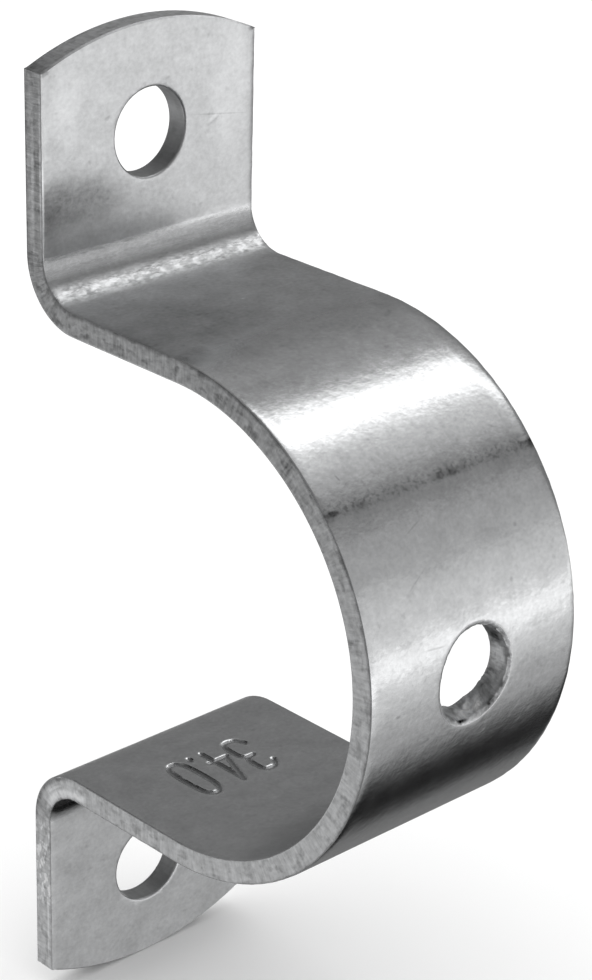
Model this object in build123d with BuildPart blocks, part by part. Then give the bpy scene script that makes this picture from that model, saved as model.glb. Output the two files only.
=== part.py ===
"""Pipe band clamp: one strip of zinc-plated steel, folded into a saddle with two fixing flanges.

The strip runs, in one piece, down the upper flange, round a tight bend, along a straight leg to
the saddle that holds the pipe, and back by the mirror image of that path to the lower flange.
Both flanges end in a shallow arc and are pierced for a wall screw. A third hole, through the
crown of the saddle, takes a screw that locks the pipe.

Frame: the origin is the centre of the pipe seat, +X runs along the pipe and across the strip,
+Y points at the wall and +Z runs up along the flanges. All sizes are in millimetres.
"""
import os
from math import copysign

from build123d import *

# The pipe and how it is held
pipe_diameter = 33.7
pipe_clearance = 0.15  # radial gap between the pipe and the saddle
wall_squeeze = 1.45  # how far the flange backs stand off the wall until the screws are tight

# The strip
strip_width = 19.0
strip_thickness = 1.8
bend_radius = 3.0  # inside radius, between a leg and its flange

# The screws, their holes and the sheet left round them
screw_hole_diameter = 6.4
washer_diameter = 12.0
washer_clearance = 1.0  # from the washer's rim to where the bend begins
end_web = 4.6  # from a screw hole's rim to the middle of the flange's end
end_bow = 2.1  # rise of the flange's arc end over its corners
crown_hole_diameter = 6.6

# Rims rolled over by the tools, all on the front of the strip; those on its back stay sharp
sheared_rim_radius = 0.3
screw_hole_rim_radius = 0.2
crown_hole_rim_radius = 0.35

# Worked out from the sizes above
seat_radius = pipe_diameter / 2 + pipe_clearance
saddle_radius = seat_radius + strip_thickness
flange_back = pipe_diameter / 2 - wall_squeeze
flange_front = flange_back - strip_thickness
bend_centre_y = flange_front - bend_radius
bend_centre_z = saddle_radius + bend_radius
screw_height = bend_centre_z + washer_clearance + washer_diameter / 2
flange_end = screw_height + screw_hole_diameter / 2 + end_web
flange_corner = flange_end - end_bow

# Along the pipe, with the sketch's own X towards the wall, and square to the wall, from the front
side_view = Plane(origin=(-strip_width / 2, 0, 0), x_dir=(0, 1, 0), z_dir=(1, 0, 0))
front_view = Plane(origin=(0, -saddle_radius, 0), x_dir=(1, 0, 0), z_dir=(0, -1, 0))


def looks_forward(face: Face) -> bool:
    """Tell whether a face of the fold is on the front, away from the pipe and the wall."""
    outward = Vector(0, -1, copysign(1, face.center().Z))
    return face.normal_at().dot(outward) > 0


with BuildPart() as band:
    # The fold: a tangent path along the faces that meet the pipe and the wall, one strip thick
    with BuildSketch(side_view):
        with BuildLine():
            saddle = CenterArc((0, 0), seat_radius, 180, -90)
            leg = Line(saddle @ 1, (bend_centre_y, seat_radius))
            bend = CenterArc(
                (bend_centre_y, bend_centre_z), bend_radius + strip_thickness, -90, 90
            )
            flange = Line(bend @ 1, (flange_back, flange_end))
            mirror([saddle, leg, bend, flange], about=Plane.XZ)
            offset(amount=strip_thickness, side=Side.LEFT)
        make_face()
    extrude(amount=strip_width)

    # The outline of the blank, seen from the front: straight sides and an arc at each end
    with BuildSketch(front_view):
        with BuildLine():
            top_end = ThreePointArc(
                (-strip_width / 2, flange_corner),
                (0, flange_end),
                (strip_width / 2, flange_corner),
            )
            bottom_end = mirror(top_end, about=Plane.XZ)
            Line(top_end @ 0, bottom_end @ 0)
            Line(top_end @ 1, bottom_end @ 1)
        make_face()
    extrude(amount=-(saddle_radius + flange_back), mode=Mode.INTERSECT)

    # The sheared rims of the front, all but the two faces at the very ends of the strip
    front = band.faces().sort_by(Axis.Z)[1:-1].filter_by(looks_forward)
    fillet(front.edges().filter_by(Axis.X, reverse=True), sheared_rim_radius)

    # The pierced holes, struck from the front
    with Locations(front_view):
        with GridLocations(0, 2 * screw_height, 1, 2):
            Hole(screw_hole_diameter / 2)
    fillet(band.edges(Select.LAST).group_by(Axis.Y)[0], screw_hole_rim_radius)
    with Locations(front_view):
        Hole(crown_hole_diameter / 2)
    fillet(band.edges(Select.LAST).sort_by(Axis.Y)[0], crown_hole_rim_radius)

band.part.label = "band"

os.makedirs("parts", exist_ok=True)
export_step(band.part, "parts/band.step")
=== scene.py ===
"""Looks of a pipe band clamp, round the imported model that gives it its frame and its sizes.

The clamp is made here as it is in a press shop. A flat blank is cut from strip, pierced and
stamped with its size on the bench, and then folded along a path into the saddle with two flanges.
Bench frame: X along the strip from the middle of the crown, Y from its back to its front and Z
across it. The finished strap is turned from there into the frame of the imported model.
"""
import logging
import math
from collections.abc import Callable, Iterable, Iterator
from contextlib import contextmanager
from dataclasses import dataclass, fields, replace
from enum import Enum
from typing import Any

import bmesh
import bpy
from mathutils import Matrix, Vector


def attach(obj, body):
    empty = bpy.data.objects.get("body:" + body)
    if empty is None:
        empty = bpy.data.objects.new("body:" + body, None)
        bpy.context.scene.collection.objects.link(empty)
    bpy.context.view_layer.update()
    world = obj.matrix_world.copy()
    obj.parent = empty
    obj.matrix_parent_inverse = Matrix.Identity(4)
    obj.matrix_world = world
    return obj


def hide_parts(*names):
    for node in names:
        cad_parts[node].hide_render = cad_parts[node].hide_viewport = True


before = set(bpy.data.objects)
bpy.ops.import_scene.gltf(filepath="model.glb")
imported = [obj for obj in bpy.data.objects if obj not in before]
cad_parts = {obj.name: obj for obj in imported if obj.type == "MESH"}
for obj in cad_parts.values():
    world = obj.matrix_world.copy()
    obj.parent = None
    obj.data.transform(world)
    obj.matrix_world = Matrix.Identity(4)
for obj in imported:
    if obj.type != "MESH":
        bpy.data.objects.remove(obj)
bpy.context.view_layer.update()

LOG = logging.getLogger("band_clamp")
MM = 0.001
NEAR = 0.0005 * MM
NODE = "band"
BODY = "root"
FLAT = "place_on_blank"

Colour = tuple[float, float, float, float]
Triple = tuple[float, float, float]
Span = tuple[float, float]
Piece = bpy.types.Object
Tree = bpy.types.NodeTree
Socket = bpy.types.NodeSocket
Vert = bmesh.types.BMVert
Edge = bmesh.types.BMEdge
Face = bmesh.types.BMFace
Test = Callable[[Any], bool]


class Part(Enum):
    """Kinds of mesh element, each with the list that a bmesh keeps it in."""

    VERT = "verts"
    EDGE = "edges"
    FACE = "faces"


class Rim(Enum):
    """Rims of the blank's outline."""

    SIDES = "sides"
    ENDS = "ends"


class Zone(Enum):
    """Surfaces of the strip, each with a finish and a material slot of its own."""

    SKIN = 0
    SHEARED = 1
    PUNCHED = 2
    TORN = 3
    STAMPED = 4


# Bench work


def choose(piece: Piece) -> None:
    """Select one piece and nothing else, and make it the active one.

    Args:
        piece: The piece.
    """
    bpy.ops.object.select_all(action="DESELECT")
    piece.select_set(True)
    bpy.context.view_layer.objects.active = piece


def put_down(operator: Callable[..., object], name: str, **settings: object) -> Piece:
    """Add one object with one of Blender's Add operators, while nothing is selected.

    Args:
        operator: The operator that adds it.
        name: What the object and its data are called.
        settings: The operator's settings.

    Returns:
        The new object.
    """
    bpy.ops.object.select_all(action="DESELECT")
    operator(**settings)
    added = bpy.context.object
    added.name = added.data.name = name
    return added


@contextmanager
def editing(piece: Piece) -> Iterator[None]:
    """Open one piece in edit mode, alone and with nothing in it selected, and close it again.

    Args:
        piece: The piece to open.

    Yields:
        Once, while the piece is open.
    """
    choose(piece)
    bpy.ops.object.mode_set(mode="EDIT")
    bpy.ops.mesh.reveal(select=False)
    bpy.ops.mesh.select_all(action="DESELECT")
    yield
    bpy.ops.object.mode_set(mode="OBJECT")


def pick(piece: Piece, part: Part, test: Test) -> int:
    """Select the elements of an open piece that pass a test, and nothing else.

    Args:
        piece: The piece that is open in edit mode.
        part: The kind of element to look at.
        test: Says whether one bmesh element is wanted.

    Returns:
        The number of elements selected.
    """
    bpy.ops.mesh.select_mode(type=part.name)
    bpy.ops.mesh.select_all(action="DESELECT")
    mesh = bmesh.from_edit_mesh(piece.data)
    mesh.normal_update()
    wanted = [element for element in getattr(mesh, part.value) if test(element)]
    for element in wanted:
        element.select_set(True)
    mesh.select_flush(True)
    bmesh.update_edit_mesh(piece.data)
    return len(wanted)


def weigh_points(piece: Piece, name: str, region: Iterable[tuple[Test, float]]) -> None:
    """Put vertices of a piece in a vertex group, for the modifiers that move them.

    Args:
        piece: The piece.
        name: The group's name.
        region: Tests for vertices, each with the weight of those that pass it.
    """
    group = piece.vertex_groups.new(name=name)
    with editing(piece):
        for test, weight in region:
            pick(piece, Part.VERT, test)
            piece.vertex_groups.active_index = group.index
            bpy.context.scene.tool_settings.vertex_group_weight = weight
            bpy.ops.object.vertex_group_assign()


def plate_faces(piece: Piece, zone: Zone, test: Test) -> int:
    """Give some faces of a piece the finish of one zone.

    Args:
        piece: The piece.
        zone: The zone whose finish they get.
        test: Says whether one face gets it.

    Returns:
        The number of faces.
    """
    with editing(piece):
        found = pick(piece, Part.FACE, test)
        piece.active_material_index = zone.value
        bpy.ops.object.material_slot_assign()
    return found


def slice_up(axis: int, start: float, stop: float, step: float) -> None:
    """Cut all that shows of the open piece into even slices of about the size asked for.

    Args:
        axis: The axis that the cuts are square to.
        start: Where the first slice begins.
        stop: Where the last slice ends.
        step: The size asked for.
    """
    count = max(1, round((stop - start) / step))
    square = Matrix.Identity(3)[axis]
    for i in range(1, count):
        place = square * (start + (stop - start) * i / count)
        bpy.ops.mesh.select_all(action="SELECT")
        bpy.ops.mesh.bisect(plane_co=place, plane_no=square, threshold=NEAR)


def work_with(piece: Piece, kind: str, **settings: object) -> None:
    """Shape a piece with one modifier, applied at once.

    Args:
        piece: The piece to shape.
        kind: Blender's name for the kind of modifier.
        settings: The modifier's settings.
    """
    modifier = piece.modifiers.new(kind.lower(), kind)
    for name, value in settings.items():
        setattr(modifier, name, value)
    bpy.context.view_layer.objects.active = piece
    bpy.ops.object.modifier_apply(modifier=modifier.name)


def scrap(tool: Piece) -> None:
    """Throw away a helper object that has done its work."""
    bpy.data.objects.remove(tool, do_unlink=True)


# Finishes


def linear(colour: str) -> Colour:
    """Turn an sRGB colour into Blender's linear colour.

    Args:
        colour: The colour in hex, such as #D4D5D6.

    Returns:
        Its red, green and blue, and an alpha of 1.
    """
    parts = [int(colour[i : i + 2], 16) / 255 for i in (1, 3, 5)]
    red, green, blue = (
        part / 12.92 if part <= 0.04045 else ((part + 0.055) / 1.055) ** 2.4 for part in parts
    )
    return red, green, blue, 1.0


def add_node(
    tree: Tree, kind: str, inputs: dict[str | int, Any] | None = None, **settings: object
) -> bpy.types.Node:
    """Add one node with its settings, its values and the links that feed it.

    Args:
        tree: The node tree that it goes into.
        kind: Blender's name for the kind of node.
        inputs: A value, or the output socket of another node, for each input named or numbered.
        settings: The node's own settings.

    Returns:
        The new node.
    """
    node = tree.nodes.new(kind)
    for name, value in settings.items():
        setattr(node, name, value)
    for name, value in (inputs or {}).items():
        if isinstance(value, Socket):
            tree.links.new(value, node.inputs[name])
        else:
            node.inputs[name].default_value = value
    return node


@dataclass(frozen=True, kw_only=True)
class Layer:
    """Something that a finish lays on the flat blank, from 0 where it is absent to 1.

    Attributes:
        tone: What it adds to the finish's tone.
        rough: What it adds to the finish's roughness.
        height: What it adds to the finish's height, in metres.
        within: Layers that limit it.
    """

    tone: float = 0.0
    rough: float = 0.0
    height: float = 0.0
    within: tuple["Layer", ...] = ()

    def measure(self, tree: Tree, flat: Socket) -> tuple[Socket, Span | None]:
        """Add what the layer measures on the blank to a tree.

        Args:
            tree: The node tree that it goes into.
            flat: The socket that gives each point's place on the flat blank.

        Returns:
            The measure, and its values where the layer is 0 and 1, or none where it is the layer.
        """
        raise NotImplementedError

    def output(self, tree: Tree, flat: Socket) -> Socket:
        """Add the layer to a tree.

        Args:
            tree: The node tree that it goes into.
            flat: The socket that gives each point's place.

        Returns:
            The socket that gives the layer, from 0 to 1.
        """
        value, rise = self.measure(tree, flat)
        if rise:
            value = add_node(
                tree,
                "ShaderNodeMapRange",
                {"Value": value, "From Min": rise[0], "From Max": rise[1]},
                interpolation_type="SMOOTHSTEP",
            ).outputs[0]
        for limit in self.within:
            factors = {0: value, 1: limit.output(tree, flat)}
            value = add_node(tree, "ShaderNodeMath", factors, operation="MULTIPLY").outputs[0]
        return value


@dataclass(frozen=True)
class Pattern(Layer):
    """A noise.

    Attributes:
        size: Size of one feature along the strip, through it and across it, in millimetres.
        detail: Number of finer octaves on top.
        shift: Moves the noise, so that two of one size don't match.
        rise: Where given, the levels of the noise between which the pattern rises from 0 to 1.
        octave: Strength of each octave, as a share of the one before.
    """

    size: Triple
    detail: float = 2.0
    shift: float = 0.0
    rise: Span | None = None
    octave: float = 0.55

    def measure(self, tree: Tree, flat: Socket) -> tuple[Socket, Span | None]:
        """Add the noise to a tree.

        Args:
            tree: The node tree that it goes into.
            flat: The socket that gives each point's place on the flat blank.

        Returns:
            The noise, and its values where the pattern is 0 and 1, or none.
        """
        scale = [1 / (size * MM) for size in self.size]
        placing = {"Vector": flat, "Location": (self.shift,) * 3, "Scale": scale}
        placed = add_node(tree, "ShaderNodeMapping", placing).outputs[0]
        noise = {"Vector": placed, "Scale": 1.0, "Detail": self.detail, "Roughness": self.octave}
        return add_node(tree, "ShaderNodeTexNoise", noise).outputs[0], self.rise


@dataclass(frozen=True)
class Band(Layer):
    """A stretch of the blank.

    Attributes:
        middle: Its middle, in millimetres from the bench's origin.
        half: Half its length.
        fade: The length over which it dies away beyond that.
        mirrored: Whether there is one on each side of the crown.
        axis: The bench's axis that it lies along: 0 along the strip, 1 through it.
    """

    middle: float
    half: float
    fade: float
    mirrored: bool = True
    axis: int = 0

    def measure(self, tree: Tree, flat: Socket) -> tuple[Socket, Span | None]:
        """Add the distance from the band's middle to a tree.

        Args:
            tree: The node tree that it goes into.
            flat: The socket that gives each point's place on the flat blank.

        Returns:
            The distance, and its values where the band has died away and where it is full.
        """
        place = add_node(tree, "ShaderNodeSeparateXYZ", {0: flat}).outputs[self.axis]
        steps = [("ABSOLUTE", 0.0)] if self.mirrored else []
        for operation, other in (*steps, ("SUBTRACT", self.middle * MM), ("ABSOLUTE", 0.0)):
            terms = {0: place, 1: other}
            place = add_node(tree, "ShaderNodeMath", terms, operation=operation).outputs[0]
        return place, ((self.half + self.fade) * MM, self.half * MM)


@dataclass(frozen=True)
class ScuffOrPaintedLight(Layer):
    """A single scratch, rub or dent, or a patch of painted highlight or painted shade.

    Attributes:
        place: Its middle on the blank, along, through and across, in millimetres.
        size: Its length, depth and width, in millimetres.
        angle: Its turn from straight along the blank, in degrees.
        core: The share of its size within which it is full.
    """

    place: Triple
    size: Triple
    angle: float = 0.0
    core: float = 0.3

    def measure(self, tree: Tree, flat: Socket) -> tuple[Socket, Span | None]:
        """Add the distance from the patch's middle, in shares of its size, to a tree.

        Args:
            tree: The node tree that it goes into.
            flat: The socket that gives each point's place on the flat blank.

        Returns:
            The distance, and its values where the scuff has died away and where it is full.
        """
        placing = {
            "Vector": flat,
            "Location": Vector(self.place) * MM,
            "Rotation": (0.0, math.radians(self.angle), 0.0),
            "Scale": Vector(self.size) / 2 * MM,
        }
        placed = add_node(tree, "ShaderNodeMapping", placing, vector_type="TEXTURE").outputs[0]
        length = add_node(tree, "ShaderNodeVectorMath", {0: placed}, operation="LENGTH")
        return length.outputs["Value"], (1.0, self.core)


@dataclass(frozen=True)
class Finish:
    """What every finish of the clamp is built on: zinc, with its tone, roughness and height.

    Attributes:
        name: The material's name.
        colour: The zinc's colour seen straight on.
        roughness: Its roughness, before the layers add to it.
        tone: How bright it is, 1 being its own colour, before the layers add to it.
        marks: Single scratches, rubs and chips, and patches of painted highlight and painted shade.
    """

    name: str
    colour: str
    roughness: float
    tone: float
    marks: tuple[Layer, ...] = ()

    @property
    def layers(self) -> tuple[Layer, ...]:
        """All that the finish lays on the zinc: its own layers and then the marks."""
        values = (getattr(self, field.name) for field in fields(self))
        return (*(value for value in values if isinstance(value, Layer)), *self.marks)

    def material(self) -> bpy.types.Material:
        """Build the material.

        Returns:
            Zinc, with all that the layers add to its tone, its roughness and its height.
        """
        material = bpy.data.materials.new(self.name)
        material.use_nodes = True
        tree = material.node_tree
        tree.nodes.clear()
        flat = add_node(tree, "ShaderNodeAttribute", attribute_name=FLAT).outputs["Vector"]
        sums = {"tone": self.tone, "rough": self.roughness, "height": 0.0}
        for layer in self.layers:
            mask = layer.output(tree, flat)
            for name, total in sums.items():
                if getattr(layer, name):
                    terms = {0: mask, 1: getattr(layer, name), 2: total}
                    added = add_node(tree, "ShaderNodeMath", terms, operation="MULTIPLY_ADD")
                    sums[name] = added.outputs[0]
        toned = {0: linear(self.colour)[:3], "Scale": sums["tone"]}
        raised = {"Height": sums["height"], "Distance": 1.0, "Strength": 1.0}
        colour = add_node(tree, "ShaderNodeVectorMath", toned, operation="SCALE").outputs[0]
        bump = add_node(tree, "ShaderNodeBump", raised).outputs[0]
        look = {"Base Color": colour, "Metallic": 1.0, "Roughness": sums["rough"], "Normal": bump}
        shader = add_node(tree, "ShaderNodeBsdfPrincipled", look)
        add_node(tree, "ShaderNodeOutputMaterial", {"Surface": shader.outputs[0]})
        return material


# Where on the blank a layer lies: its front half, the pitted line and the chipped edge
FRONT = Band(1.8, 0.6, 0.6, mirrored=False, axis=1)
PITTED = Band(12.4, 0.1, 0.7, mirrored=False)
CHIPPED = Band(-48.6, 2.6, 1.4, mirrored=False)
SKIN_MARKS_AND_PAINTED_LIGHT = (
    ScuffOrPaintedLight((51.95, 1.8, 6.3), (6.6, 0.6, 0.16), -98.7, tone=-0.16),
    ScuffOrPaintedLight((51.8, 1.8, 5.75), (1.7, 0.6, 0.6), -58, tone=0.13, height=0.01 * MM),
    ScuffOrPaintedLight((32.1, 1.8, 1.2), (0.5, 0.6, 0.25), 85, tone=0.25),
    ScuffOrPaintedLight((2.8, 1.8, -3.7), (2.6, 0.6, 0.2), -96, tone=-0.2),
    ScuffOrPaintedLight((12.3, 1.8, -8.8), (0.5, 0.6, 1.2), tone=-0.45),
    ScuffOrPaintedLight((12.2, 1.8, 9.2), (1.0, 0.6, 1.0), tone=-0.4),
    ScuffOrPaintedLight((14.2, 1.8, -7.1), (0.6, 0.6, 0.2), 20, tone=-0.25),
    ScuffOrPaintedLight((8.0, 1.8, 5.2), (0.4, 0.6, 0.5), tone=-0.25),
    ScuffOrPaintedLight((7.1, 1.8, -4.2), (3.2, 0.6, 0.16), -62, tone=-0.12),
    ScuffOrPaintedLight((12.2, 1.8, 1.9), (0.6, 0.6, 6.0), tone=-0.16),
    # Painted highlight: a bright glint along the upper flange's rolled near rim
    ScuffOrPaintedLight((48.4, 1.75, -9.45), (8.6, 0.4, 0.4), tone=0.6),
    # Painted shade on the inside of the saddle, towards the lower leg
    ScuffOrPaintedLight((-17.5, 0.0, 0.0), (15.0, 1.0, 26.0), tone=-0.42),
    # Painted shade in the hollow of the lower bend
    ScuffOrPaintedLight((-41.8, 1.8, -7.0), (8.0, 0.8, 14.0), tone=-0.55),
    # Painted shade, on this line and the next: a dark reflection on the upper flange above its
    # bend, deepest by the near edge
    ScuffOrPaintedLight((48.3, 1.8, -8.0), (5.2, 1.2, 15.0), tone=-0.4),
    ScuffOrPaintedLight((47.4, 1.8, -9.2), (5.0, 1.0, 5.0), tone=-0.14),
    # Painted shade across the inside of the upper bend
    ScuffOrPaintedLight((40.0, 1.8, 0.0), (2.6, 1.0, 40.0), tone=-0.22),
    ScuffOrPaintedLight((54.0, 1.8, 7.4), (13.0, 1.0, 5.0), tone=0.12),
    # Painted highlight: a light stripe beside the upper flange's near edge
    ScuffOrPaintedLight((54.5, 1.8, -7.4), (8.0, 1.0, 3.2), tone=0.12),
    ScuffOrPaintedLight((-0.5, 1.8, -7.1), (0.3, 0.6, 0.6), tone=-0.25),
    ScuffOrPaintedLight((5.0, 1.8, 3.8), (0.5, 0.6, 0.4), tone=-0.2),
    ScuffOrPaintedLight((10.0, 1.8, -3.2), (2.2, 0.6, 0.16), -70, tone=-0.15),
    ScuffOrPaintedLight((24.4, 1.8, -2.6), (0.6, 0.6, 0.6), tone=-0.12),
    ScuffOrPaintedLight((26.2, 1.8, -8.6), (2.6, 1.0, 4.4), 20, tone=-0.22),
    ScuffOrPaintedLight((30.5, 1.8, -5.5), (13.5, 1.0, 16.0), tone=-0.17),
    # Painted shade, on this line and the next: the dark reflection across the crown made deeper
    ScuffOrPaintedLight((-6.5, 1.8, 0.0), (3.0, 1.0, 24.0), tone=-0.2),
    ScuffOrPaintedLight((-6.6, 1.8, -9.2), (3.0, 1.0, 2.6), tone=-0.25),
    # Rolled-over far rims of the crown and of the upper flange: real relief, and painted shade
    # dimming the highlight along them
    ScuffOrPaintedLight((17.5, 1.8, 10.6), (24.0, 6.0, 5.2), tone=-0.2, height=-0.16 * MM),
    ScuffOrPaintedLight((50.5, 1.8, 10.1), (26.0, 6.0, 2.6), tone=-0.15, height=-0.02 * MM),
)
EDGE_MARKS_AND_PAINTED_LIGHT = (
    Pattern((0.7, 0.4, 0.7), 2.0, 16.0, (0.5, 0.62), tone=0.6, within=(CHIPPED,)),
    # Painted shade: the near edge darker from the saddle up to the upper flange's end
    ScuffOrPaintedLight((34.0, 0.9, -9.5), (58.0, 9.0, 9.0), tone=-0.2),
    # The burnished band of the upper flange's edge, painted bright as a glint: painted highlight
    ScuffOrPaintedLight((51.0, 1.62, -9.5), (15.0, 0.3, 0.4), tone=0.6),
    ScuffOrPaintedLight((50.0, 0.0, -9.5), (24.0, 0.5, 0.6), tone=-0.4),
    ScuffOrPaintedLight((51.0, 0.6, -9.5), (18.0, 1.0, 0.6), tone=0.3),
    # Painted shade: the near edge darker over the upper half of the saddle
    ScuffOrPaintedLight((15.0, 0.9, -9.5), (30.0, 9.0, 9.0), tone=-0.16),
    ScuffOrPaintedLight((59.0, 0.9, 0.0), (5.0, 6.0, 32.0), tone=0.35),
    ScuffOrPaintedLight((-41.5, 0.1, -9.5), (12.0, 1.0, 0.6), tone=-0.4),
    ScuffOrPaintedLight((-43.4, 0.9, -9.5), (2.6, 2.6, 0.6), tone=-0.3),
    ScuffOrPaintedLight((50.0, 0.8, -9.5), (14.0, 0.5, 0.4), tone=0.25),
    ScuffOrPaintedLight((-54.0, 1.4, -9.5), (8.0, 0.3, 0.4), tone=0.35),
    ScuffOrPaintedLight((-40.2, 1.3, -9.5), (8.5, 0.9, 0.6), tone=0.5),
    ScuffOrPaintedLight((-37.0, 1.15, -9.5), (1.9, 1.1, 0.6), tone=0.5),
    ScuffOrPaintedLight((-40.4, 0.75, -9.5), (3.0, 0.3, 0.6), tone=0.3),
)
WALL_MARKS_AND_PAINTED_LIGHT = (
    # Painted shade: a black slit standing in for the shade of a crack at the broken-out edge
    ScuffOrPaintedLight((-3.2, 1.58, -0.85), (0.8, 0.36, 2.4), tone=-1.2),
    ScuffOrPaintedLight((-2.9, 0.7, -0.6), (1.2, 1.2, 1.0), tone=-0.6),
    # Painted shade over the lower right of the hole's rolled rim
    ScuffOrPaintedLight((-2.6, 1.75, 2.3), (5.6, 0.9, 4.6), tone=-0.55),
    ScuffOrPaintedLight((1.9, 0.8, 2.7), (2.8, 1.8, 2.6), tone=-0.5),
    ScuffOrPaintedLight((-2.2, 0.8, 2.1), (1.8, 1.4, 1.6), tone=-0.35),
    # Painted highlights, on this line and the next: a white spot and a lighter face on the
    # broken-out ledge
    ScuffOrPaintedLight((-2.75, 1.15, 1.15), (1.1, 0.8, 1.0), tone=0.9),
    ScuffOrPaintedLight((-3.0, 1.1, 0.4), (1.6, 1.7, 3.6), tone=0.5),
    ScuffOrPaintedLight((0.3, 0.9, 3.2), (2.4, 1.6, 1.2), tone=0.3),
    ScuffOrPaintedLight((-2.5, 1.7, 1.8), (0.5, 0.6, 0.5), tone=-0.5),
    # Painted highlight: a bright dash on the hole's rim
    ScuffOrPaintedLight((-0.15, 1.6, 3.6), (0.9, 0.6, 0.5), tone=1.2),
)


@dataclass(frozen=True)
class RolledZinc(Finish):
    """Bright zinc plating on the rolled skin of mild steel strip.

    The mill's rolls and the plating bath leave a satin that is smooth enough to give back soft,
    drawn-out pictures of the lights. Close up, it is broken by a fine orange peel that runs
    across the strip, by clouds where the coat is thicker, by wrinkles where the strip was bent
    tight and by a line of pits that the forming die's edge pressed into the saddle. A line of
    painted shade darkens the inside of each bend, and some of its marks are painted light and
    shade.
    """

    name: str = "bright_zinc_on_rolled_skin"
    colour: str = "#D3D4D5"
    roughness: float = 0.2
    tone: float = 0.54
    # The coat's crystals and its peel are finer than 0.1 mm, and are drawn this coarse to show
    grain: Layer = Pattern((0.3, 0.3, 0.36), tone=0.36)
    peel: Layer = Pattern((0.42, 0.4, 0.55), 2.0, 3.0, height=0.013 * MM)
    mottle: Layer = Pattern((1.0, 1.0, 1.2), 2.0, 13.0, tone=0.24)
    clouds: Layer = Pattern((2.2, 2.2, 2.8), 4.0, 4.0, tone=0.36, rough=0.08, height=0.02 * MM)
    specks: Layer = Pattern((0.6, 0.5, 0.7), 1.0, 15.0, (0.64, 0.85), tone=-0.14)
    # Where the press bent the strip
    bends: Layer = Band(41.2, 1.1, 0.7, tone=-0.18, rough=0.05)
    wrinkled: Layer = Band(40.1, 0.6, 0.9, tone=-0.12)
    wrinkles: Layer = Pattern(
        (0.5, 0.5, 0.6), 2.0, 7.0, (0.3, 0.7), tone=0.46, height=0.01 * MM, within=(wrinkled,)
    )
    # Painted shade: a dark line inside the front of each bend, just before its highlight
    stretched: Layer = Band(43.6, 0.1, 1.2, tone=-0.22, within=(FRONT,))
    # Where its tools rubbed the coat duller, or flatter
    legs: Layer = Band(33.2, 5.2, 2.0, tone=-0.18, rough=0.28, within=(FRONT,))
    flanges: Layer = Band(54.0, 8.5, 1.5, tone=-0.14, rough=0.09, within=(FRONT,))
    flat_peel: Layer = Pattern((0.42, 0.4, 0.55), 2.0, 3.0, height=-0.0039 * MM, within=(flanges,))
    # Where the forming die's edge pressed a line across the saddle
    line: Layer = Band(12.25, 0.08, 0.36, mirrored=False, tone=-0.08, within=(FRONT,))
    crease: Layer = Pattern((9.0, 9.0, 1.3), 2.0, 9.0, (0.36, 0.6), tone=-0.26, within=(line,))
    pits: Layer = Pattern(
        (0.24, 0.3, 0.34), 2.0, 11.0, (0.45, 0.65), tone=-0.3, within=(PITTED, FRONT)
    )
    marks: tuple[Layer, ...] = SKIN_MARKS_AND_PAINTED_LIGHT


@dataclass(frozen=True)
class CutZinc(Finish):
    """Zinc plating over a face that a tool cut, which keeps the tool's marks under the coat.

    The first part of the cut is burnished by the tool's flank and the rest is torn. The coat
    rounds the tears off, and the eye sees a mottled grey with short streaks through the strip.

    Attributes:
        contrast: How strongly its patterns vary the tone.
        relief: How high its patterns stand, in metres, where a pattern gives a share of that.
    """

    contrast: float = 1.0
    relief: float = 0.02 * MM
    # A shear leaves its streaks about 0.05 mm apart, and they are drawn this coarse to show
    streaks: Layer = Pattern((0.2, 1.2, 0.2), 2.0, 2.0, tone=0.4, height=0.6)
    mottle: Layer = Pattern((0.55, 0.4, 0.55), 3.0, 6.0, tone=0.5, rough=0.12, height=1.0)
    blots: Layer = Pattern((1.1, 0.7, 1.1), 3.0, 12.0, (0.52, 0.66), tone=-0.14)

    @property
    def layers(self) -> tuple[Layer, ...]:
        """The patterns at this cut's contrast and relief, and then the marks."""
        patterns = (
            replace(layer, tone=layer.tone * self.contrast, height=layer.height * self.relief)
            for layer in (self.streaks, self.mottle, self.blots)
        )
        return *patterns, *self.marks


FINISHES: dict[Zone, Finish] = {
    Zone.SKIN: RolledZinc(),
    Zone.SHEARED: CutZinc(
        "zinc_on_sheared_edge", "#CBCCCD", 0.32, 0.226, EDGE_MARKS_AND_PAINTED_LIGHT, 1.8, 0.03 * MM
    ),
    Zone.PUNCHED: CutZinc("zinc_on_punched_wall", "#BFC0C1", 0.46, 0.699, contrast=0.7),
    Zone.TORN: CutZinc("zinc_on_torn_wall", "#D2D3D4", 0.42, 0.14, WALL_MARKS_AND_PAINTED_LIGHT, 2.0, 0.08 * MM),
    # The grooves' zinc is darker than the skin's: painted shade in the stamped figures
    Zone.STAMPED: CutZinc("zinc_in_stamped_groove", "#A9AAAB", 0.42, 0.742, contrast=0.6),
}


# The clamp


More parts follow.
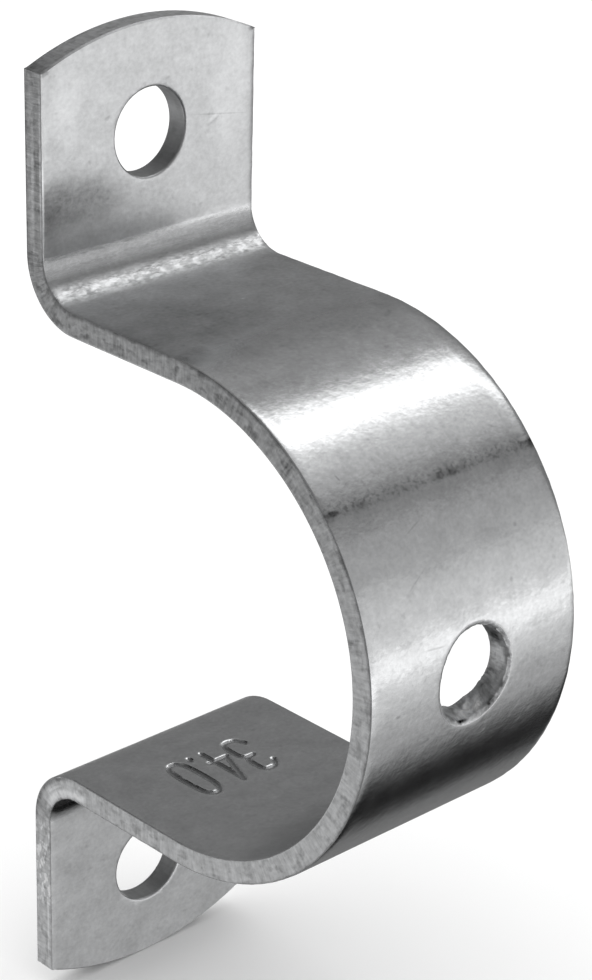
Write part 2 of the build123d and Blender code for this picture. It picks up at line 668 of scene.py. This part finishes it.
@dataclass(frozen=True)
class Strip:
    """Sizes of the strip and of the fold, in metres.

    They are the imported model's, but the flanges end 2 micrometres sooner, to stay inside its box.
    The holes are as wide as they look inside their rims, and the crown hole is a little longer
    along the strip than across it.
    """

    width: float = 19.0 * MM
    thickness: float = 1.8 * MM
    seat_radius: float = 17.0 * MM
    leg: float = 10.6 * MM
    bend_radius: float = 3.0 * MM
    flange_end: float = 36.598 * MM
    end_bow: float = 2.1 * MM
    screw_height: float = 28.8 * MM
    screw_hole: float = 3.13 * MM
    crown_hole: float = 3.12 * MM
    crown_stretch: float = 1.05

    @property
    def back_bend(self) -> float:
        """Radius of the bend, on the strip's back."""
        return self.bend_radius + self.thickness

    @property
    def leg_start(self) -> float:
        """Place on the blank where the saddle ends and a leg begins."""
        return self.seat_radius * math.pi / 2

    @property
    def flange_start(self) -> float:
        """Place on the blank where a bend ends and a flange begins."""
        return self.leg_start + self.leg + self.back_bend * math.pi / 2

    @property
    def half_length(self) -> float:
        """Place on the blank of the middle of its end."""
        return self.on_flange(self.flange_end)

    @property
    def crown_reach(self) -> float:
        """How far the crown hole reaches along the strip from its middle."""
        return self.crown_stretch * self.crown_hole

    @property
    def end_radius(self) -> float:
        """Radius of the arc that the blank's end is sheared to."""
        return (self.width**2 / 4 + self.end_bow**2) / (2 * self.end_bow)

    @property
    def holes(self) -> tuple[float, float, float]:
        """Places on the blank of the lower screw hole, the crown hole and the upper screw hole."""
        screw = self.on_flange(self.screw_height)
        return -screw, 0.0, screw

    def on_flange(self, height: float) -> float:
        """Turn a height above the pipe's axis into a place on the blank's upper flange."""
        return self.flange_start + height - self.seat_radius - self.back_bend


@dataclass(frozen=True)
class Blank:
    """The flat blank: its outline, its holes and the rims that the tools rolled over."""

    strip: Strip
    end_facets: int = 320
    hole_facets: int = 96
    side_rim: float = 0.1 * MM
    end_rim: float = 0.12 * MM
    screw_hole_rim: float = 0.18 * MM
    crown_hole_rim: float = 0.4 * MM
    back_rim: float = 0.11 * MM
    pitch: float = 0.4 * MM
    cross_pitch: float = 0.48 * MM
    wall_pitch: float = 0.2 * MM
    # Edges sharper than this are rolled over. They are a side's beyond this share of half the
    # width, and a hole's within this share of a screw hole's radius
    sharp: float = math.radians(50)
    side_share: float = 0.9
    hole_reach: float = 1.2

    def build(self) -> Piece:
        """Model the blank.

        Returns:
            The blank, cut into small faces that can follow the fold.
        """
        blank = self.cut_outline()
        self.pierce(blank)
        self.roll_rims(blank)
        self.divide(blank)
        return blank

    def cut_outline(self) -> Piece:
        """Start from a disc, trim it to the blank's end, draw that out and mirror it.

        Returns:
            The blank, without holes.
        """
        strip = self.strip
        blank = put_down(
            bpy.ops.mesh.primitive_circle_add,
            "clamp_strap",
            vertices=self.end_facets,
            radius=strip.end_radius,
            fill_type="NGON",
            location=(strip.half_length - strip.end_radius, 0, 0),
            rotation=(math.pi / 2, 0, 0),
        )
        bpy.ops.object.transform_apply()
        start, side = strip.flange_start, strip.width / 2
        cuts = (
            ((0, 0, side), (0, 0, 1)),
            ((0, 0, -side), (0, 0, -1)),
            ((start, 0, 0), (-1, 0, 0)),
        )
        with editing(blank):
            for place, outward in cuts:
                bpy.ops.mesh.select_all(action="SELECT")
                bpy.ops.mesh.bisect(
                    plane_co=place, plane_no=outward, clear_outer=True, threshold=NEAR
                )
            pick(blank, Part.EDGE, lambda edge: all(abs(v.co.x - start) < NEAR for v in edge.verts))
            bpy.ops.mesh.extrude_region_move(TRANSFORM_OT_translate={"value": (-start, 0, 0)})
        work_with(blank, "MIRROR", use_clip=True, merge_threshold=NEAR)
        with editing(blank):
            bpy.ops.mesh.select_all(action="SELECT")
            bpy.ops.mesh.remove_doubles(threshold=NEAR)
            bpy.ops.mesh.normals_make_consistent(inside=False)
            if bmesh.from_edit_mesh(blank.data).faces[:][0].normal.y < 0:
                bpy.ops.mesh.flip_normals()
        work_with(blank, "SOLIDIFY", thickness=strip.thickness, offset=1.0)
        return blank

    def pierce(self, blank: Piece) -> None:
        """Punch the two screw holes, and the crown hole that gets its shape from the fold.

        Args:
            blank: The flat blank.
        """
        strip = self.strip
        deep = 3 * strip.thickness
        for place in strip.holes:
            punch = put_down(
                bpy.ops.mesh.primitive_cylinder_add,
                "punch",
                vertices=self.hole_facets,
                radius=strip.screw_hole if place else strip.crown_hole,
                depth=deep,
                location=(place, strip.thickness / 2, 0),
                rotation=(math.pi / 2, 0, 0),
            )
            bpy.ops.object.transform_apply()
            if not place:
                self.taper(punch, deep)
            work_with(blank, "BOOLEAN", operation="DIFFERENCE", object=punch, solver="EXACT")
            scrap(punch)

    def taper(self, punch: Piece, deep: float) -> None:
        """Narrow the crown punch towards the front, where the fold stretches the strip.

        Args:
            punch: The cylinder that cuts the crown hole.
            deep: Its length.
        """
        strip = self.strip
        for end in (-1, 1):
            depth = strip.thickness / 2 + end * deep / 2
            radius = strip.seat_radius + depth
            reach = strip.seat_radius * math.asin(strip.crown_reach / radius)
            with editing(punch):
                pick(punch, Part.VERT, lambda vert: vert.co.y * end > depth * end - NEAR)
                bpy.ops.transform.resize(
                    value=(reach / strip.crown_hole, 1, 1),
                    center_override=(0, strip.thickness / 2, 0),
                )

    def roll_rims(self, blank: Piece) -> None:
        """Round the rims: well over on the front, where the tools struck, but little behind.

        Args:
            blank: The flat blank.
        """
        low, crown, high = self.strip.holes
        rims = (
            (True, Rim.SIDES, self.side_rim, 2),
            (True, Rim.ENDS, self.end_rim, 1),
            (True, low, self.screw_hole_rim, 3),
            (True, high, self.screw_hole_rim, 3),
            (True, crown, self.crown_hole_rim, 5),
            *((False, place, self.back_rim, 2) for place in (*Rim, low, crown, high)),
        )
        with editing(blank):
            for front, place, size, segments in rims:
                found = pick(blank, Part.EDGE, lambda edge: self.rim_of(edge) == (front, place))
                LOG.info("rim of %d edges rolled over by %.2f mm", found, size / MM)
                bpy.ops.mesh.bevel(offset=size, segments=segments, affect="EDGES")

    def rim_of(self, edge: Edge) -> tuple[bool, float | Rim] | None:
        """Find the rim of the blank that an edge is on.

        Args:
            edge: The edge.

        Returns:
            Whether it is on the front, and the rim of the outline or the place of the hole, or
            none where it is on no rim.
        """
        strip = self.strip
        front = edge.verts[0].co.y > strip.thickness / 2
        depth = strip.thickness if front else 0
        if any(abs(v.co.y - depth) > NEAR for v in edge.verts):
            return None
        if edge.calc_face_angle(0) < self.sharp:
            return None
        middle = (edge.verts[0].co + edge.verts[1].co) / 2
        corner = strip.on_flange(strip.flange_end - strip.end_bow)
        if abs(middle.z) > self.side_share * strip.width / 2 and abs(middle.x) < corner:
            return front, Rim.SIDES
        for hole in strip.holes:
            if math.hypot(middle.x - hole, middle.z) < self.hole_reach * strip.screw_hole:
                return front, hole
        return front, Rim.ENDS

    def divide(self, blank: Piece) -> None:
        """Cut the blank into small faces, along it, across it and through its cut faces.

        Args:
            blank: The flat blank.
        """
        width, length = self.strip.width, self.strip.half_length
        with editing(blank):
            slice_up(2, -width / 2, width / 2, self.cross_pitch)
            slice_up(0, -length, length, self.pitch)
            slice_up(1, 0, self.strip.thickness, self.wall_pitch)


@dataclass(frozen=True)
class Stroke:
    """One line of a stamped figure, in shares of its width, to the right, and its height."""

    points: tuple[tuple[float, float], ...]
    smooth: bool = True
    closed: bool = False


THREE = (
    Stroke(((0.0, 0.84), (0.1, 1.0), (0.95, 1.02), (1.0, 0.76), (0.9, 0.53), (0.4, 0.53))),
    Stroke(((0.4, 0.53), (1.0, 0.55), (1.06, 0.26), (0.98, -0.02), (0.1, 0.0), (0.0, 0.18))),
)
FOUR = (Stroke(((0.75, 0.0), (0.75, 1.0), (0.0, 0.3), (1.0, 0.3)), smooth=False),)
POINT = (Stroke(((0.0, 0.0), (0.0, 0.05)), smooth=False),)
NOUGHT = (
    Stroke(
        ((0.0, 0.5), (0.0, 1.05), (1.0, 1.05), (1.0, 0.5), (1.0, -0.05), (0.0, -0.05)),
        closed=True,
    ),
)


@dataclass(frozen=True)
class SizeMark:
    """The seat's diameter, pressed into the back of the lower leg with figure punches."""

    strip: Strip
    figures: tuple[tuple[tuple[Stroke, ...], float], ...] = (
        (THREE, 3.5 * MM),
        (FOUR, 1.15 * MM),
        (POINT, -1.25 * MM),
        (NOUGHT, -2.0 * MM),
    )
    figure_width: float = 1.6 * MM
    figure_height: float = 4.7 * MM
    foot: float = 7.75 * MM
    groove: float = 0.36 * MM
    depth: float = 0.17 * MM
    lip_start: float = 0.288 * MM
    lip: float = 0.6 * MM
    lip_height: float = 0.02 * MM
    pitch: float = 0.09 * MM
    margin: float = 0.8 * MM
    smoothness: int = 16
    # The shares of the depth between which a point counts as pressed in
    pressed: Span = (0.1, 1.5)

    def press(self, blank: Piece) -> None:
        """Stamp the figures into the blank.

        Args:
            blank: The flat blank.
        """
        self.refine(blank)
        lines = self.lines()
        for name, inner, outer, move in (
            ("lips", self.lip_start, self.lip, self.lip_height),
            ("grooves", 0.0, self.groove, -self.depth),
        ):
            weigh_points(blank, name, ((self.near_back, 1.0),))
            work_with(
                blank,
                "VERTEX_WEIGHT_PROXIMITY",
                vertex_group=name,
                target=lines,
                proximity_mode="GEOMETRY",
                proximity_geometry={"EDGE"},
                min_dist=outer,
                max_dist=inner,
                falloff_type="SMOOTH",
            )
            work_with(blank, "DISPLACE", vertex_group=name, mid_level=0.0, strength=move)
        blank.vertex_groups.clear()
        scrap(lines)
        in_groove = self.marked(*(share * self.depth for share in self.pressed))
        plate_faces(blank, Zone.STAMPED, lambda face: all(map(in_groove, face.verts)))

    @property
    def area(self) -> tuple[float, float, float, float]:
        """Where the mark lies: its least and greatest place along the blank and across it."""
        foot = -self.strip.leg_start - self.foot
        return (
            foot - self.margin,
            foot + self.figure_height + self.margin,
            self.figures[-1][1] - self.figure_width - self.margin,
            self.figures[0][1] + self.margin,
        )

    @property
    def near_back(self) -> Test:
        """A test for the vertices on the blank's back, where the mark is."""
        return self.marked(-2 * self.lip_height, 2 * self.lip_height)

    def marked(self, least: float, most: float) -> Test:
        """Make a test for the vertices under the figures, between two depths."""
        low, high, left, right = self.area
        return lambda vert: (
            least < vert.co.y < most and low < vert.co.x < high and left < vert.co.z < right
        )

    def refine(self, blank: Piece) -> None:
        """Cut the faces under the mark fine enough to take it.

        Args:
            blank: The flat blank.
        """
        low, high, left, right = self.area
        near_back = self.near_back
        with editing(blank):
            pick(blank, Part.FACE, lambda face: all(map(near_back, face.verts)))
            bpy.ops.mesh.hide(unselected=True)
            slice_up(0, low, high, self.pitch)
            slice_up(2, left, right, self.pitch)
            bpy.ops.mesh.reveal(select=False)

    def lines(self) -> Piece:
        """Lay out the figures' strokes on the blank's back.

        Returns:
            A mesh of edges.
        """
        curve = bpy.data.curves.new("size_mark_strokes", "CURVE")
        curve.dimensions = "3D"
        curve.resolution_u = self.smoothness
        for figure, start in self.figures:
            for stroke in figure:
                spline = curve.splines.new("NURBS" if stroke.smooth else "POLY")
                spline.points.add(len(stroke.points) - 1)
                for point, (right, up) in zip(spline.points, stroke.points):
                    along = -self.strip.leg_start - self.foot + up * self.figure_height
                    point.co = (along, 0, start - right * self.figure_width, 1)
                spline.use_cyclic_u = stroke.closed
                if stroke.smooth:
                    spline.use_endpoint_u = not stroke.closed
                    spline.order_u = 4 if stroke.closed else 3
        lines = bpy.data.objects.new("size_mark_strokes", curve)
        bpy.context.collection.objects.link(lines)
        choose(lines)
        bpy.ops.object.convert(target="MESH")
        return bpy.context.object


@dataclass(frozen=True)
class FoldPath:
    """The line that the blank's back follows once it is folded, in the bench frame."""

    strip: Strip
    arc_step: float = math.pi / 4
    smoothness: int = 64

    def build(self) -> Piece:
        """Draw the path as a Bezier curve from the lower flange's end to the upper one's.

        Returns:
            The curve object.
        """
        strip = self.strip
        seat, bend, leg = strip.seat_radius, strip.back_bend, strip.leg
        curve = bpy.data.curves.new("fold_path", "CURVE")
        curve.dimensions = "2D"
        curve.resolution_u = self.smoothness
        spline = curve.splines.new("BEZIER")
        place, heading = Vector((-strip.flange_end, -leg - bend)), 0.0
        half = ((strip.flange_end - seat - bend, 0.0), (bend, math.pi / 2), (leg, 0.0))
        handle_in, corners = 0.0, []
        for size, turn in (*half, (seat, -math.pi), *reversed(half)):
            steps = max(1, round(abs(turn) / self.arc_step))
            step = turn / steps
            reach = size * 4 / 3 * math.tan(abs(step) / 4) if turn else size / 3
            for _ in range(steps):
                corners.append((place.copy(), heading, handle_in, reach))
                middle = heading + step / 2
                chord = 2 * size * math.sin(abs(step) / 2) if turn else size
                place += chord * Vector((math.cos(middle), math.sin(middle)))
                heading += step
                handle_in = reach
        corners.append((place.copy(), heading, handle_in, handle_in))
        spline.bezier_points.add(len(corners) - 1)
        for point, (at, direction, before, after) in zip(spline.bezier_points, corners):
            ahead = Vector((math.cos(direction), math.sin(direction), 0))
            point.handle_left_type = point.handle_right_type = "FREE"
            point.co = at.to_3d()
            point.handle_left = point.co - ahead * before
            point.handle_right = point.co + ahead * after
        path = bpy.data.objects.new("fold_path", curve)
        bpy.context.collection.objects.link(path)
        return path


@dataclass(frozen=True)
class Unevenness:
    """Small relief that one region of the blank keeps from how it was made.

    Attributes:
        name: What left it.
        size: Size of its bumps, in metres.
        height: Height of its bumps, in metres.
        level: The share of that height that is taken off all over: bumps stand out of the surface
            at 0 and are sunk in it at 1.
        region: Tests for the vertices that have it, each with a share of its height, or none
            where all have it.
        way: The way that the bumps go: along an axis of the bench, or square to the surface.
    """

    name: str
    size: float
    height: float
    level: float
    region: tuple[tuple[Test, float], ...] = ()
    way: str = "NORMAL"

    def work(self, blank: Piece) -> None:
        """Raise or sink the points of a flat blank.

        Args:
            blank: The flat blank.
        """
        relief = bpy.data.textures.new(self.name, "CLOUDS")
        relief.noise_scale = self.size
        relief.noise_depth = 1
        if self.region:
            weigh_points(blank, self.name, self.region)
        work_with(
            blank,
            "DISPLACE",
            texture=relief,
            texture_coords="LOCAL",
            direction=self.way,
            vertex_group=self.name if self.region else "",
            mid_level=self.level,
            strength=self.height,
        )
        blank.vertex_groups.clear()


@dataclass(frozen=True)
class Strap:
    """The whole clamp: the blank, pierced, stamped, folded and plated."""

    strip: Strip = Strip()
    # The crown hole's back edge broke out on one side, deeper in steps
    broken_side: tuple[float, float] = (-0.997, 0.079)
    broken_depth: float = 0.8 * MM
    broken_steps: tuple[float, ...] = (0.2, 0.4, 0.6, 0.8, 1.0)
    broken_reaches: tuple[float, ...] = (0.4, 0.5, 0.6, 0.7, 0.8)
    # How far a face's normal may turn to the front on a wall, and on the crown hole's rim
    wall_slope: float = 0.1
    rim_slope: float = 0.97
    # How far off the outline, the crown hole's wall, the back and a side a zone of theirs reaches
    outline_margin: float = 0.5 * MM
    wall_margin: float = 0.15 * MM
    back_margin: float = 0.06 * MM
    rim_margin: float = 0.2 * MM
    smooth_up_to: float = math.radians(40)

    def build(self) -> Piece:
        """Make the strap in place.

        Returns:
            The finished piece.
        """
        strap = Blank(self.strip).build()
        self.dress(strap)
        self.remember_flat(strap)
        SizeMark(self.strip).press(strap)
        self.weather(strap)
        self.fold(strap)
        self.put_in_place(strap)
        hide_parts(NODE)
        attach(strap, BODY)
        return strap

    def dress(self, strap: Piece) -> None:
        """Give each zone of the strip its finish.

        Args:
            strap: The strap, still flat.
        """
        strap.data.materials.clear()
        for zone in Zone:
            strap.data.materials.append(FINISHES[zone].material())
        strip = self.strip
        inner = strip.width / 2 - self.outline_margin
        inside = strip.end_radius - self.outline_margin
        tip = strip.half_length - strip.end_radius
        hole = strip.crown_reach + Blank.crown_hole_rim

        def cut(face: Face) -> bool:
            """Say whether a face stands through the strip's thickness."""
            return abs(face.normal.y) < self.wall_slope

        def torn(face: Face) -> bool:
            """Say whether a face is on the crown hole's wall, or on the rim that rolled over."""
            middle = face.calc_center_median()
            return math.hypot(middle.x, middle.z) < hole and abs(face.normal.y) < self.rim_slope

        def outline(face: Face) -> bool:
            """Say whether a face is on the blank's outline."""
            x, z = map(abs, face.calc_center_median().xz)
            return z > inner or (x > strip.flange_start and math.hypot(x - tip, z) > inside)

        for zone, test in (
            (Zone.SHEARED, lambda face: cut(face) and outline(face)),
            (Zone.PUNCHED, lambda face: cut(face) and not outline(face)),
            (Zone.TORN, torn),
        ):
            LOG.info("%s: %d faces", FINISHES[zone].name, plate_faces(strap, zone, test))

    def remember_flat(self, strap: Piece) -> None:
        """Keep each point's place on the flat blank, which the finishes' layers lie on.

        Args:
            strap: The strap, still flat.
        """
        places = [0.0] * (3 * len(strap.data.vertices))
        strap.data.vertices.foreach_get("co", places)
        flat = strap.data.attributes.new(FLAT, "FLOAT_VECTOR", "POINT")
        flat.data.foreach_set("vector", places)

    def weather(self, strap: Piece) -> None:
        """Leave the marks of the press: a skin that waves a little and torn walls and rims.

        Args:
            strap: The strap, still flat.
        """
        strip = self.strip
        hole = strip.crown_reach + self.wall_margin

        def torn(depth: float, reach: float = -1.0) -> Test:
            """Make a test for the crown hole's wall: up to a depth, and past a reach sideways."""
            return lambda vert: (
                math.hypot(vert.co.x, vert.co.z) < hole
                and self.back_margin < vert.co.y < depth
                and vert.co.xz.dot(self.broken_side) > reach * hole
            )

        def on_rim(vert: Vert) -> bool:
            """Say whether a vertex is on the front rim of one of the long sides."""
            in_side = strip.width / 2 - abs(vert.co.z)
            return max(in_side, strip.thickness - vert.co.y) < self.rim_margin

        rim = Blank.crown_hole_rim
        front = strip.thickness - rim
        side = ((on_rim, 1.0),)
        wall = ((torn(front + rim / 2), 1.0),)
        broken = tuple(
            (torn(front - self.broken_depth * step, reach), step * most)
            for reach, most in zip(self.broken_reaches, self.broken_steps)
            for step in self.broken_steps
        )
        for unevenness in (
            Unevenness("rolling", size=5 * MM, height=0.012 * MM, level=1.0),
            Unevenness("shearing", size=0.5 * MM, height=0.05 * MM, level=1.0, region=side),
            Unevenness("piercing", size=0.5 * MM, height=0.12 * MM, level=0.3, region=wall),
            Unevenness(
                "breaking_out", size=1.1 * MM, height=0.5 * MM, level=-0.5, region=broken, way="X"
            ),
        ):
            unevenness.work(strap)

    def fold(self, strap: Piece) -> None:
        """Fold the blank along its path.

        Args:
            strap: The strap, still flat.
        """
        path = FoldPath(self.strip).build()
        with editing(strap):
            bpy.ops.mesh.select_all(action="SELECT")
            bpy.ops.transform.translate(value=(self.strip.half_length, 0, 0))
        work_with(strap, "CURVE", object=path, deform_axis="POS_X")
        scrap(path)

    def put_in_place(self, strap: Piece) -> None:
        """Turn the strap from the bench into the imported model's frame, and smooth its shading.

        Args:
            strap: The folded strap.
        """
        bench = Matrix(((0, 0, 1), (0, -1, 0), (1, 0, 0))).to_4x4()
        strap.matrix_world = bench
        choose(strap)
        bpy.ops.object.transform_apply()
        bpy.ops.object.shade_smooth_by_angle(angle=self.smooth_up_to)
        work_with(strap, "WEIGHTED_NORMAL", mode="FACE_AREA", keep_sharp=True)


# The studio


@dataclass(frozen=True)
class Hanging:
    """Something flat that hangs round the clamp, and that only the metal gives back.

    Attributes:
        name: What it is called.
        angle: Where it hangs round the pipe's axis: 0 in front and 90 overhead, in degrees.
        span: How wide it looks from the clamp, in degrees.
        reach: Where it begins and ends along the pipe's axis, in metres.
        distance: How far it stands off that axis, in metres.
    """

    name: str
    angle: float
    span: float
    reach: Span = (-0.3, 1.3)
    distance: float = 0.6

    @property
    def place(self) -> Vector:
        """Its middle."""
        turn = math.radians(self.angle)
        outward = Vector((0, -math.cos(turn), math.sin(turn)))
        return outward * self.distance + Vector((sum(self.reach) / 2, 0, 0))

    @property
    def size(self) -> tuple[float, float]:
        """Its length and its width, in metres."""
        width = 2 * self.distance * math.tan(math.radians(self.span) / 2)
        return self.reach[1] - self.reach[0], width

    def hang(self, operator: Callable[..., object], **settings: object) -> Piece:
        """Hang it in place with an Add operator, facing the pipe's axis."""
        turn = Vector((0, *self.place.yz)).to_track_quat("Z", "Y").to_euler()
        return put_down(operator, self.name, location=self.place, rotation=turn, **settings)


@dataclass(frozen=True)
class Softbox(Hanging):
    """A soft light for the metal's gloss alone. The floor has a light of its own."""

    glow: float = 1.0

    def build(self) -> None:
        """Hang the softbox."""
        light = self.hang(bpy.ops.object.light_add, type="AREA")
        light.data.shape = "RECTANGLE"
        light.data.size, light.data.size_y = self.size
        light.data.energy = self.glow * math.pi * self.size[0] * self.size[1]
        light.visible_camera = light.visible_diffuse = False


@dataclass(frozen=True)
class Flag(Hanging):
    """A black card, which draws a dark line on the metal."""

    def build(self) -> None:
        """Hang the flag."""
        flag = self.hang(bpy.ops.mesh.primitive_plane_add, size=1)
        flag.scale = (*self.size, 1)
        flag.data.materials.append(matt("black_felt", "#010101"))
        flag.visible_camera = flag.visible_diffuse = flag.visible_shadow = False


def matt(name: str, colour: str) -> bpy.types.Material:
    """Make a plain matt material for something that only dresses the studio.

    Args:
        name: The material's name.
        colour: Its sRGB colour in hex.

    Returns:
        The material.
    """
    material = bpy.data.materials.new(name)
    material.use_nodes = True
    shader = material.node_tree.nodes["Principled BSDF"]
    shader.inputs["Base Color"].default_value = linear(colour)
    shader.inputs["Roughness"].default_value = 1.0
    shader.inputs["Specular IOR Level"].default_value = 0.0
    return material


@dataclass(frozen=True)
class Studio:
    """A pale floor and soft light, from long boxes in front and overhead on the right."""

    floor_height: float = -36.62 * MM
    floor_reach: float = 3.0
    floor_colour: str = "#F2F2F2"
    wash_glow: float = 1.25
    wash_height: float = 1.5
    wash_size: float = 6.0
    room_glow: float = 0.222
    boxes: tuple[Softbox, ...] = (
        Softbox("overhead_box", 89.4, 17.4, (0.2, 1.3), glow=1.85),
        Softbox("overhead_spill", 101, 62, (0.1, 1.3), glow=0.11),
        Softbox("upper_front_box", 70, 24, (0.1, 1.3), glow=0.38),
        Softbox("front_box", -9.5, 99, glow=0.25),
        Softbox("front_box_middle", -12, 53, glow=0.29),
        Softbox("front_box_core", -16.7, 10, glow=0.98),
        Softbox("left_bounce", -139, 40, (-0.75, -0.15), 0.5, 0.5),
        Softbox("back_bounce", -151, 13, (0.15, 0.6), glow=0.45),
        Softbox("right_bounce", -151, 14, (0.6, 0.9), glow=1.6),
    )
    flags: tuple[Flag, ...] = (
        Flag("flag_under_crown", -81, 31, (-0.3, 0.7), 0.3),
        Flag("flag_above_left", 128, 24, (-0.5, 0.05), 0.45),
    )

    def build(self) -> None:
        """Set up the studio."""
        for piece in (*self.boxes, *self.flags):
            piece.build()
            LOG.info("%s hung", piece.name)
        self.lay_floor()
        self.wash_floor()
        self.light_room()

    def lay_floor(self) -> None:
        """Lay the pale floor, which the metal doesn't give back."""
        floor = put_down(
            bpy.ops.mesh.primitive_plane_add,
            "floor",
            size=2 * self.floor_reach,
            location=(0, 0, self.floor_height),
        )
        floor.data.materials.append(matt("pale_paper", self.floor_colour))
        floor.visible_glossy = floor.visible_shadow = False

    def wash_floor(self) -> None:
        """Light the floor evenly from a broad box overhead that the metal doesn't give back."""
        place = (0, 0, self.wash_height)
        wash = put_down(bpy.ops.object.light_add, "floor_wash", type="AREA", location=place)
        wash.data.shape = "SQUARE"
        wash.data.size = self.wash_size
        wash.data.energy = self.wash_glow * math.pi * wash.data.size**2
        wash.visible_camera = wash.visible_glossy = False

    def light_room(self) -> None:
        """Give the room its dim, even light, and pictures their plain tones."""
        scene = bpy.context.scene
        world = bpy.data.worlds.new("room")
        scene.world = world
        world.use_nodes = True
        background = world.node_tree.nodes["Background"]
        background.inputs["Color"].default_value = (1, 1, 1, 1)
        background.inputs["Strength"].default_value = self.room_glow
        scene.view_settings.view_transform = "Standard"


@dataclass(frozen=True)
class Viewpoint:
    """The camera, where the photograph's was, in millimetres and degrees, its clip in metres."""

    place: Triple = (-124.01, -130.79, 87.04)
    azimuth: float = -43.8108
    elevation: float = 24.0043
    roll: float = 1.447
    lens: float = 106.554
    sensor: float = 36.0
    clip: Span = (0.01, 20.0)

    def build(self) -> None:
        """Set the camera up and make it the scene's."""
        turn = Matrix.Identity(3)
        for angle, axis in ((self.azimuth, "Z"), (90 - self.elevation, "X"), (self.roll, "Z")):
            turn = turn @ Matrix.Rotation(math.radians(angle), 3, axis)
        camera = put_down(bpy.ops.object.camera_add, "camera", location=Vector(self.place) * MM)
        camera.rotation_euler = turn.to_euler()
        camera.data.lens = self.lens
        camera.data.sensor_width = self.sensor
        camera.data.clip_start, camera.data.clip_end = self.clip
        bpy.context.scene.camera = camera


def main() -> None:
    """Build the studio, the camera and the clamp."""
    logging.basicConfig(level=logging.INFO, format="%(name)s: %(message)s")
    Viewpoint().build()
    Studio().build()
    strap = Strap().build()
    LOG.info("%s made: %d faces", strap.name, len(strap.data.polygons))


if __name__ == "__main__":
    main()
